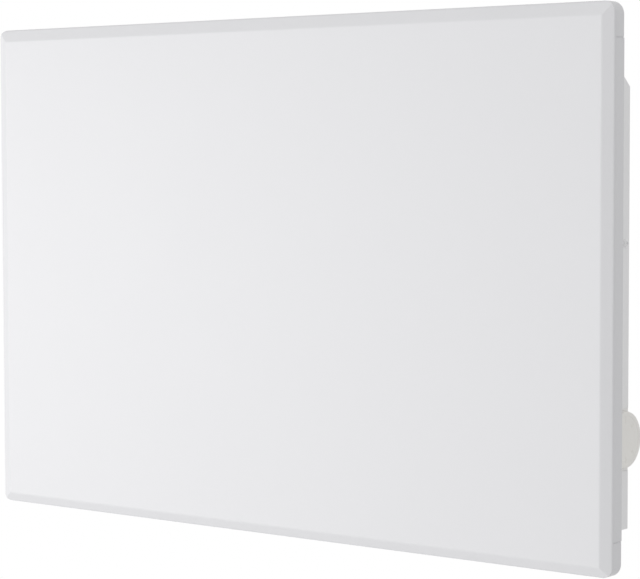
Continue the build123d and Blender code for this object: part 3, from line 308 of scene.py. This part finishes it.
finishes = {
    # The panel's paint is a little grey partly as painted shade, for the dimmer light on its side flange.
    "panel_paint": (powderCoat, {
        "colour": (0.745, 0.745, 0.76), "roughness": 0.42, "mottle": 0.05, "peel": 0.0024,
        "peelHeight": 0.000012, "grit": 0.0006, "gritHeight": 0.000004,
    }),
    # The casing's paint is lighter than the panel's partly as painted light, for the brighter light its side
    # catches behind the flange.
    "casing_paint": (powderCoat, {
        "colour": (0.90, 0.90, 0.905), "roughness": 0.5, "mottle": 0.03, "peel": 0.002,
        "peelHeight": 0.00001, "grit": 0.0005, "gritHeight": 0.000008,
    }),
    "painted_screw": (powderCoat, {
        "colour": (0.90, 0.90, 0.905), "roughness": 0.4, "mottle": 0.004, "peel": 0.0012,
        "peelHeight": 0.00001, "grit": 0.0004, "gritHeight": 0.000004,
    }),
    "zinc": (platedSteel, {
        "colour": (0.60, 0.61, 0.64), "metallic": 0.95, "roughness": 0.32,
        "along": (1, 1, 1), "scratch": 0.0003,
    }),
    "galvanised": (spangledZinc, {
        "colour": (0.56, 0.57, 0.59), "roughness": 0.42, "crystal": 0.007, "raggedness": 0.002,
        "rolled": (0.03, 1, 1),
    }),
    "bracket_steel": (spangledZinc, {
        "colour": (0.58, 0.59, 0.61), "roughness": 0.4, "crystal": 0.006, "raggedness": 0.002,
        "rolled": (1, 1, 0.03),
    }),
    "fin_aluminium": (platedSteel, {
        "colour": (0.68, 0.69, 0.70), "metallic": 1.0, "roughness": 0.36,
        "along": (0.02, 1, 1), "scratch": 0.0004,
    }),
    "bright_aluminium": (platedSteel, {
        "colour": (0.80, 0.81, 0.82), "metallic": 1.0, "roughness": 0.16,
        "along": (0.02, 1, 1), "scratch": 0.0005,
    }),
    "rod_steel": (heatTinted, {
        "colour": (0.42, 0.40, 0.38), "tint": (0.30, 0.20, 0.12), "roughness": 0.4,
    }),
    "ceramic": (unglazedCeramic, {"colour": (0.84, 0.81, 0.74), "roughness": 0.7}),
    "limiter_body": (mouldedPlastic, {
        "colour": (0.035, 0.033, 0.032), "roughness": 0.35, "grain": 0.0004, "grainHeight": 0.00001,
    }),
    # The housing's plastic is this light partly as painted light, to lift the shaded strip between the dial's top
    # and the notch.
    "housing_plastic": (mouldedPlastic, {
        "colour": (0.90, 0.895, 0.88), "roughness": 0.52, "grain": 0.0004, "grainHeight": 0.000012,
    }),
    # The dial's plastic is warm of itself, and its lightness is partly painted light, for the extra light on its
    # face.
    "dial_plastic": (mouldedPlastic, {
        "colour": (0.92, 0.905, 0.87), "roughness": 0.48, "grain": 0.0004, "grainHeight": 0.00001,
    }),
    "spindle_steel": (platedSteel, {
        "colour": (0.60, 0.60, 0.62), "metallic": 1.0, "roughness": 0.28,
        "along": (1, 0.1, 0.1), "scratch": 0.0002,
    }),
    "component_black": (mouldedPlastic, {
        "colour": (0.02, 0.02, 0.022), "roughness": 0.4, "grain": 0.0003, "grainHeight": 0.000015,
    }),
    "board": (circuitLacquer, {
        "colour": (0.02, 0.13, 0.05), "trackColour": (0.05, 0.24, 0.09), "roughness": 0.35, "track": 0.006,
    }),
    "capacitor_film": (mouldedPlastic, {
        "colour": (0.75, 0.45, 0.05), "roughness": 0.35, "grain": 0.0006, "grainHeight": 0.00001,
    }),
    "terminal_plastic": (mouldedPlastic, {
        "colour": (0.03, 0.2, 0.07), "roughness": 0.4, "grain": 0.0005, "grainHeight": 0.00001,
    }),
    "sensor_epoxy": (mouldedPlastic, {
        "colour": (0.02, 0.02, 0.09), "roughness": 0.25, "grain": 0.0008, "grainHeight": 0.00002,
    }),
    "gland_plastic": (mouldedPlastic, {
        "colour": (0.74, 0.74, 0.73), "roughness": 0.5, "grain": 0.0004, "grainHeight": 0.00001,
    }),
    "grommet_rubber": (mouldedPlastic, {
        "colour": (0.03, 0.03, 0.03), "roughness": 0.75, "grain": 0.0007, "grainHeight": 0.00002,
    }),
    "switch_frame": (mouldedPlastic, {
        "colour": (0.74, 0.74, 0.735), "roughness": 0.5, "grain": 0.0004, "grainHeight": 0.00001,
    }),
    "switch_rocker": (mouldedPlastic, {
        "colour": (0.78, 0.78, 0.775), "roughness": 0.3, "grain": 0.0008, "grainHeight": 0.000005,
    }),
    "lead_brown": (siliconeLead, {"colour": (0.16, 0.07, 0.035), "roughness": 0.55}),
    "lead_blue": (siliconeLead, {"colour": (0.02, 0.09, 0.36), "roughness": 0.55}),
    "lead_green": (siliconeLead, {
        "colour": (0.05, 0.28, 0.04), "roughness": 0.55, "stripe": (0.75, 0.62, 0.03), "stripeEvery": 0.02,
    }),
    "brass_plated": (platedSteel, {
        "colour": (0.62, 0.48, 0.22), "metallic": 1.0, "roughness": 0.3,
        "along": (1, 1, 1), "scratch": 0.0004,
    }),
    "clip_nylon": (mouldedPlastic, {
        "colour": (0.80, 0.79, 0.74), "roughness": 0.45, "grain": 0.0006, "grainHeight": 0.00001,
    }),
    "catch_plastic": (mouldedPlastic, {
        "colour": (0.34, 0.35, 0.37), "roughness": 0.45, "grain": 0.0005, "grainHeight": 0.000012,
    }),
    "spring_steel": (platedSteel, {
        "colour": (0.50, 0.50, 0.52), "metallic": 1.0, "roughness": 0.3,
        "along": (1, 1, 1), "scratch": 0.0003,
    }),
}

materials = {slot: make(slot, look) for slot, (make, look) in finishes.items()}
for part in frame["record"]["subparts"]:
    frame["nodes"][part["node"]].data.materials.clear()
    frame["nodes"][part["node"]].data.materials.append(materials[part["material_slot"]])
print("finishes made:", len(materials))


def jointNamed(name):
    return next(joint for joint in frame["joints"] if joint["name"] == name)


def only(piece):
    if bpy.context.mode != "OBJECT":
        bpy.ops.object.mode_set(mode="OBJECT")
    bpy.ops.object.select_all(action="DESELECT")
    piece.select_set(True)
    bpy.context.view_layer.objects.active = piece


def started(name):
    # Names the primitive that was just added.
    piece = bpy.context.active_object
    piece.name = name
    piece.data.name = name
    return piece


def editing(piece):
    only(piece)
    bpy.ops.object.mode_set(mode="EDIT")
    bpy.ops.mesh.select_all(action="DESELECT")
    return bmesh.from_edit_mesh(piece.data)


def pickVertices(piece, test):
    mesh = editing(piece)
    bpy.ops.mesh.select_mode(type="VERT")
    for vertex in mesh.verts:
        vertex.select_set(test(vertex.co))
    mesh.select_flush(True)
    bmesh.update_edit_mesh(piece.data)


def pickFaces(piece, test):
    mesh = editing(piece)
    bpy.ops.mesh.select_mode(type="FACE")
    for face in mesh.faces:
        face.select_set(test(face.calc_center_median(), face.normal))
    bmesh.update_edit_mesh(piece.data)


def pickEdges(piece, test):
    mesh = editing(piece)
    bpy.ops.mesh.select_mode(type="EDGE")
    for edge in mesh.edges:
        edge.select_set(test(edge.verts[0].co, edge.verts[1].co))
    bmesh.update_edit_mesh(piece.data)


def addModifier(piece, kind, **settings):
    only(piece)
    made = piece.modifiers.new(kind.title(), kind)
    for name, value in settings.items():
        setattr(made, name, value)
    bpy.ops.object.modifier_apply(modifier=made.name)


def fixPlace(piece):
    only(piece)
    bpy.ops.object.transform_apply(location=True, rotation=True, scale=True)


def finished(piece, body, slot, smooth=35):
    # Cleans the mesh, shades it and hangs it on its body.
    editing(piece)
    bpy.ops.mesh.select_all(action="SELECT")
    bpy.ops.mesh.remove_doubles(threshold=0.000001)
    bpy.ops.mesh.normals_make_consistent(inside=False)
    only(piece)
    bpy.ops.object.shade_smooth_by_angle(angle=math.radians(smooth))
    piece.data.materials.clear()
    piece.data.materials.append(materials[slot])
    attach(piece, body)
    only(piece)
    return piece


dial = {
    "flutes": 60,
    "steps": 4,              # rim points for each flute
    "fluteDepth": 0.0006,
    "thickness": 0.004,
    "rimWidth": 0.0026,
    "sink": 0.0004,
    "edge": 0.0006,
    "soften": 0.00025,
    "backHollow": 0.0022,
    "hubRadius": 0.006,
    "hubPad": 0.00015,       # the hub stands this far behind the rim
    "numbers": 7,
    "numberRadius": 0.0128,
    "digit": 0.0048,
    "tickRadius": 0.0160,
    "tick": (0.0006, 0.0014),
    "raised": 0.00015,
    "numberChamfer": 0.00003,
    "tickRound": 0.000075,
}


def dialWheel(d):
    low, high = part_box("thermostat_dial")
    radius = (high.z - low.z) / 2
    centre = Vector((high.x - d["thickness"] / 2, (low.y + high.y) / 2, (low.z + high.z) / 2))
    bpy.ops.object.select_all(action="DESELECT")
    bpy.ops.mesh.primitive_cylinder_add(
        vertices=d["flutes"] * d["steps"], radius=radius, depth=d["thickness"],
        rotation=(0, math.pi / 2, 0), location=centre,
    )
    wheel = started("dialWheel")
    fixPlace(wheel)

    def inFlute(point):
        angle = math.atan2(point.z - centre.z, point.y - centre.y)
        return round(angle * d["flutes"] * d["steps"] / math.tau) % d["steps"] == 0

    nearMiddle, nearFace = 0.0005, 0.0001
    pickFaces(wheel, lambda place, normal: abs(normal.x) < 0.5)
    bpy.ops.mesh.subdivide(number_cuts=1)
    # The flutes stop short of both faces, so only the middle ring of points goes in.
    pickVertices(wheel, lambda p: inFlute(p) and abs(p.x - centre.x) < nearMiddle)
    shrink = 1 - d["fluteDepth"] / radius
    bpy.ops.transform.resize(value=(1, shrink, shrink), center_override=centre)
    pickVertices(wheel, lambda p: p.x > high.x - nearFace)
    taper = 1 - d["edge"] / radius
    bpy.ops.transform.resize(value=(1, taper, taper), center_override=centre)
    pickFaces(wheel, lambda place, normal: normal.x > 0.9)
    bpy.ops.mesh.inset(thickness=d["rimWidth"])
    bpy.ops.mesh.inset(thickness=d["sink"], depth=-d["sink"])
    pickFaces(wheel, lambda place, normal: normal.x < -0.9)
    bpy.ops.mesh.inset(thickness=d["rimWidth"])
    bpy.ops.mesh.inset(thickness=d["sink"], depth=-d["backHollow"])
    inner = radius - d["rimWidth"] - d["sink"] - d["hubRadius"]
    bpy.ops.mesh.inset(thickness=inner)
    bpy.ops.mesh.extrude_region_move(
        TRANSFORM_OT_translate={"value": (-d["backHollow"] - d["hubPad"], 0, 0)}
    )
    bpy.ops.object.mode_set(mode="OBJECT")
    addModifier(
        wheel, "BEVEL", width=d["soften"], segments=2, limit_method="ANGLE", angle_limit=math.radians(40),
    )
    finished(wheel, "dial", "dial_plastic", 30)
    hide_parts("thermostat_dial")


def joined(pieces, name):
    only(pieces[0])
    for piece in pieces[1:]:
        piece.select_set(True)
    bpy.ops.object.join()
    return started(name)


def dialScale(d):
    # Plain raised numbers and ticks on the face; the middle one faces the front at rest.
    low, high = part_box("thermostat_dial")
    hub = Vector((high.x - d["sink"], (low.y + high.y) / 2, (low.z + high.z) / 2))
    first, last = jointNamed("dial_turn")["range_deg"]
    marks = []
    for number in range(d["numbers"]):
        angle = first + (last - first) * number / (d["numbers"] - 1)
        bpy.ops.object.select_all(action="DESELECT")
        bpy.ops.object.text_add()
        digit = bpy.context.active_object
        digit.data.body = str(number)
        digit.data.size = d["digit"]
        digit.data.align_x = "CENTER"
        digit.data.align_y = "CENTER"
        digit.data.extrude = d["raised"]
        digit.data.bevel_depth = d["numberChamfer"]
        digit.data.bevel_resolution = 0
        bpy.ops.object.convert(target="MESH")
        digit = bpy.context.active_object
        digit.location = (0, d["numberRadius"], 0)
        fixPlace(digit)
        bpy.ops.object.select_all(action="DESELECT")
        bpy.ops.mesh.primitive_cube_add(
            size=1, location=(0, d["tickRadius"], 0), scale=(d["tick"][0], d["tick"][1], 2 * d["raised"]),
        )
        tick = bpy.context.active_object
        fixPlace(tick)
        addModifier(tick, "BEVEL", width=d["tickRound"], segments=2, limit_method="ANGLE")
        pair = joined([digit, tick], "mark")
        # Drawn upright facing +Z, then stood on the dial's face with its top towards the rim.
        stand = Matrix(((0, 0, 1), (0, -1, 0), (1, 0, 0))).to_4x4()
        pair.matrix_world = Matrix.Translation(hub) @ Matrix.Rotation(math.radians(angle), 4, "X") @ stand
        fixPlace(pair)
        marks.append(pair)
    scale = joined(marks, "dialScale")
    finished(scale, "dial", "dial_plastic", 40)


dialWheel(dial)
dialScale(dial)
print("dial made")

spring = {"wire": 0.0008, "turns": 6, "steps": 28, "ringSides": 10}


def catchSpring(side, s):
    node = "catch_spring_" + side
    low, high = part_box(node)
    radius = (high.x - low.x - s["wire"]) / 2
    centre = (low + high) / 2
    length = high.z - low.z - s["wire"]
    bpy.ops.object.select_all(action="DESELECT")
    bpy.ops.mesh.primitive_circle_add(
        vertices=s["ringSides"], radius=s["wire"] / 2, rotation=(math.pi / 2, 0, 0), location=(radius, 0, 0),
    )
    coil = started("catchSpring" + side.title())
    fixPlace(coil)
    addModifier(
        coil, "SCREW", axis="Z", angle=math.tau * s["turns"], screw_offset=length,
        steps=s["steps"] * s["turns"], render_steps=s["steps"] * s["turns"], use_merge_vertices=True,
    )
    pickEdges(coil, lambda a, b: False)
    bpy.ops.mesh.select_non_manifold(extend=False)
    bpy.ops.mesh.fill_holes(sides=0)
    bpy.ops.object.mode_set(mode="OBJECT")
    coil.location = (centre.x, centre.y, low.z + s["wire"] / 2)
    fixPlace(coil)
    finished(coil, "heater", "spring_steel", 60)
    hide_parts(node)
    press = "catch_" + side + "_press"
    travel = jointNamed(press)["range_m"][1]
    keep = (high.z - low.z - travel) / (high.z - low.z)
    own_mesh(coil)


for side in ("left", "right"):
    catchSpring(side, spring)
print("springs made")

rocker = {
    "halfWidth": 0.0052,
    "foot": (-0.0040, 0.0068),   # from the pivot: how far out, and half the height there
    "lip": (0.0029, 0.0089),
    "dishRadius": 0.0229,
    "pin": (0.0012, 0.0061),     # radius and reach to each side
    "pinEdge": 0.0002,
    "soft": 0.0004,
    "markHeight": 0.0056,        # from the pivot to each mark's middle
    "bar": (0.0006, 0.0028),
    "barEdge": 0.0001,
    "ring": (0.0012, 0.00028),
}


def dishCentre(r):
    # How far in front of the pivot the dish's own centre lies.
    front, high = r["lip"]
    return front + math.sqrt(r["dishRadius"] ** 2 - high ** 2)


def seated(piece):
    # Level is halfway through the rocker's travel, and at rest its lower end is pressed in.
    joint = jointNamed("power_rocker")
    tilt = Matrix.Rotation(math.radians(-joint["range_deg"][0] / 2), 4, "Y")
    piece.matrix_world = Matrix.Translation(joint["pos_m"]) @ tilt
    fixPlace(piece)


def rockerCap(r):
    # The dished cap on its two pins, drawn level about the pivot and then tilted.
    across, tall = r["foot"]
    front, high = r["lip"]
    bpy.ops.object.select_all(action="DESELECT")
    bpy.ops.mesh.primitive_cube_add(
        size=1, location=((front + across) / 2, 0, 0), scale=(front - across, 2 * r["halfWidth"], 2 * high),
    )
    cap = started("rockerCap")
    fixPlace(cap)
    pickVertices(cap, lambda p: p.x < 0)
    bpy.ops.transform.resize(value=(1, 1, tall / high), center_override=(across, 0, 0))
    only(cap)
    bpy.ops.object.select_all(action="DESELECT")
    bpy.ops.mesh.primitive_cylinder_add(
        vertices=160, radius=r["dishRadius"], depth=6 * r["halfWidth"],
        rotation=(math.pi / 2, 0, 0), location=(dishCentre(r), 0, 0),
    )
    cutter = started("dishCutter")
    fixPlace(cutter)
    addModifier(cap, "BOOLEAN", object=cutter, operation="DIFFERENCE", solver="EXACT")
    bpy.data.objects.remove(cutter)
    addModifier(
        cap, "BEVEL", width=r["soft"], segments=3, limit_method="ANGLE", angle_limit=math.radians(30),
    )
    bpy.ops.object.select_all(action="DESELECT")
    radius, reach = r["pin"]
    bpy.ops.mesh.primitive_cylinder_add(
        vertices=32, radius=radius, depth=2 * reach, rotation=(math.pi / 2, 0, 0),
    )
    pins = started("pins")
    fixPlace(pins)
    addModifier(pins, "BEVEL", width=r["pinEdge"], segments=2, limit_method="ANGLE")
    addModifier(cap, "BOOLEAN", object=pins, operation="UNION", solver="EXACT")
    bpy.data.objects.remove(pins)
    seated(cap)
    finished(cap, "rocker", "switch_rocker", 30)
    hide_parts("power_switch_rocker")


def rockerMarks(r):
    # A bar at the top for on and a ring at the bottom for off, each lying in the dish.
    lean = math.asin(r["markHeight"] / r["dishRadius"])
    surface = dishCentre(r) - r["dishRadius"] * math.cos(lean)
    bpy.ops.object.select_all(action="DESELECT")
    wide, tall = r["bar"]
    bpy.ops.mesh.primitive_cube_add(
        size=1, location=(surface, 0, r["markHeight"]), rotation=(0, lean, 0), scale=(wide, wide, tall),
    )
    bar = started("bar")
    fixPlace(bar)
    addModifier(bar, "BEVEL", width=r["barEdge"], segments=2, limit_method="ANGLE")
    bpy.ops.object.select_all(action="DESELECT")
    radius, half = r["ring"]
    bpy.ops.mesh.primitive_torus_add(
        location=(surface, 0, -r["markHeight"]), rotation=(0, math.pi / 2 - lean, 0),
        major_radius=radius, minor_radius=half, major_segments=40, minor_segments=10,
    )
    ring = started("ring")
    fixPlace(ring)
    marks = joined([bar, ring], "rockerMarks")
    seated(marks)
    finished(marks, "rocker", "component_black", 40)


rockerCap(rocker)
rockerMarks(rocker)
print("rocker made")

grip = {
    "ribs": 4,
    "pitch": 0.0019,
    "length": 0.0210,
    "width": 0.0009,
    "height": 0.0005,
    "round": 0.0004,
    "middle": 0.0065,        # from the back of the catch to the middle of its thumb plate
}


def catchGrip(side, g):
    # Fine ribs across the thumb plate, where a finger presses the catch down.
    low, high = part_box("release_catch_" + side)
    first = high.y - g["middle"] - g["pitch"] * (g["ribs"] - 1) / 2
    bpy.ops.object.select_all(action="DESELECT")
    bpy.ops.mesh.primitive_cube_add(
        size=1, location=((low.x + high.x) / 2, first, high.z),
        scale=(g["length"], g["width"], 2 * g["height"]),
    )
    ribs = started("catchGrip" + side.title())
    fixPlace(ribs)
    addModifier(ribs, "BEVEL", width=g["round"], segments=3, limit_method="ANGLE")
    addModifier(
        ribs, "ARRAY", count=g["ribs"], use_relative_offset=False, use_constant_offset=True,
        constant_offset_displace=(0, g["pitch"], 0),
    )
    finished(ribs, "catch_" + side, "catch_plastic", 40)


for side in ("left", "right"):
    catchGrip(side, grip)
print("catch grips made")

boots = {
    "collar": 0.0018,
    "neck": 0.0030,
    "narrow": 0.6,
    "round": 0.28,
    "limiterSize": (0.0040, 0.0078, 0.0130),
    "limiterApart": 0.0090,
    "limiterEar": 0.0120,        # from the limiter's middle to the end of its rear ear
    "limiterLift": 0.0007,       # from the ends of its terminals up to the boots' middles
    "switchSize": (0.0120, 0.0068, 0.0042),
    "switchApart": 0.0100,
    "switchReach": 0.0025,       # from the ends of its terminals on to the boots' middles
}


def terminalSleeve(b, name, middle, size, along):
    # A soft boot with rounded sides, which narrows to a neck where the lead leaves it.
    bpy.ops.object.select_all(action="DESELECT")
    bpy.ops.mesh.primitive_cube_add(size=1, location=middle, scale=size)
    boot = started(name)
    fixPlace(boot)
    pickFaces(boot, lambda place, normal: normal.dot(along) < -0.9)
    shrink = tuple(1 if part else b["narrow"] for part in along)
    bpy.ops.mesh.extrude_region_move(TRANSFORM_OT_translate={"value": tuple(-along * b["collar"])})
    bpy.ops.transform.resize(value=shrink, center_override=middle)
    bpy.ops.mesh.extrude_region_move(TRANSFORM_OT_translate={"value": tuple(-along * b["neck"])})
    bpy.ops.object.mode_set(mode="OBJECT")
    addModifier(
        boot, "BEVEL", width=min(size) * b["round"], segments=4, limit_method="ANGLE",
        angle_limit=math.radians(25),
    )
    finished(boot, "heater", "clip_nylon", 50)


def limiterSleeves(b):
    # The limiter's two terminals hang down side by side.
    low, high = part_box("overheat_limiter")
    middle = Vector(((low.x + high.x) / 2, high.y - b["limiterEar"], low.z + b["limiterLift"]))
    half = Vector((b["limiterApart"] / 2, 0, 0))
    terminalSleeve(b, "limiterSleeveLive", middle - half, b["limiterSize"], Vector((0, 0, 1)))
    terminalSleeve(b, "limiterSleeveElement", middle + half, b["limiterSize"], Vector((0, 0, 1)))


def switchSleeves(b):
    # The switch's two terminals point into the heater, one above the other.
    low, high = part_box("power_switch_body")
    middle = Vector((low.x - b["switchReach"], (low.y + high.y) / 2, (low.z + high.z) / 2))
    half = Vector((0, 0, b["switchApart"] / 2))
    terminalSleeve(b, "switchSleeveUpper", middle + half, b["switchSize"], Vector((1, 0, 0)))
    terminalSleeve(b, "switchSleeveLower", middle - half, b["switchSize"], Vector((1, 0, 0)))


limiterSleeves(boots)
switchSleeves(boots)
print("sleeves made")

studio = {
    "ambient": 0.67,
    "lamps": {
        "softBoxLeft": {"place": (-3.05, -3.0, -0.15), "wide": 2.4, "tall": 1.6, "watts": 59},
        "floorStrip": {"place": (-0.9, -1.5, -0.88), "wide": 1.6, "tall": 0.3, "watts": 3.5},
    },
    "aim": (0.0, -0.05, 0.0),
    "floor": -1.0,
    "floorSize": 14.0,
    "floorShades": ((0.84, 0.84, 0.85, 1), (0.88, 0.88, 0.88, 1)),
    "floorCloud": 0.4,
    "shadowSeen": 0.8,           # how far the floor is already white under the heater
    "shadowFloor": (1.2, 2.2),   # metres from the middle, between which the floor fades to plain white
}


def seenAsBackground(tree):
    # 1 for rays from the camera, from gloss and through clear parts, which all see a white background.
    path = tree.nodes.new("ShaderNodeLightPath")
    seen = Wire(path.outputs["Is Camera Ray"]) + Wire(path.outputs["Is Glossy Ray"])
    seen = seen + Wire(path.outputs["Is Transmission Ray"])
    return seen.node("ShaderNodeClamp", {"Value": seen})


def addWorld(s):
    world = bpy.data.worlds.new("studio")
    bpy.context.scene.world = world
    world.use_nodes = True
    seen = seenAsBackground(world.node_tree)
    grey = (s["ambient"],) * 3 + (1,)
    colour = mixed(seen, grey, (1, 1, 1, 1))
    world.node_tree.links.new(colour.socket, world.node_tree.nodes["Background"].inputs["Color"])


def addLamp(name, lamp, aim):
    data = bpy.data.lights.new(name, "AREA")
    data.shape = "RECTANGLE"
    data.size = lamp["wide"]
    data.size_y = lamp["tall"]
    data.energy = lamp["watts"]
    thing = bpy.data.objects.new(name, data)
    bpy.context.scene.collection.objects.link(thing)
    thing.location = lamp["place"]
    thing.rotation_mode = "QUATERNION"
    thing.rotation_quaternion = (Vector(aim) - Vector(lamp["place"])).to_track_quat("-Z", "Y")


def addFloor(s):
    bpy.ops.object.select_all(action="DESELECT")
    bpy.ops.mesh.primitive_plane_add(size=s["floorSize"], location=(0, 0, s["floor"]))
    floor = started("floor")
    material, shader, place = newFinish("floor")
    tree = material.node_tree
    cloud = speckle(place, s["floorCloud"])
    wear(shader, {"Base Color": mixed(cloud, *s["floorShades"]), "Roughness": 0.8})
    glow = place.node("ShaderNodeEmission", {"Color": (1, 1, 1, 1), "Strength": 1.0})
    away = place.node("ShaderNodeVectorMath", {0: place}, output=1, operation="LENGTH")
    near, far = s["shadowFloor"]
    fade = away.node("ShaderNodeMapRange", {
        "Value": away, "From Min": near, "From Max": far, "To Min": s["shadowSeen"], "To Max": 1.0,
    })
    amount = seenAsBackground(tree) * fade
    both = place.node("ShaderNodeMixShader", {0: amount, 1: Wire(shader.outputs[0]), 2: glow})
    tree.links.new(both.socket, tree.nodes["Material Output"].inputs["Surface"])
    floor.data.materials.append(material)


addWorld(studio)
for name, lamp in studio["lamps"].items():
    addLamp(name, lamp, studio["aim"])
addFloor(studio)
bpy.context.scene.view_settings.view_transform = "Standard"
print("studio lit")
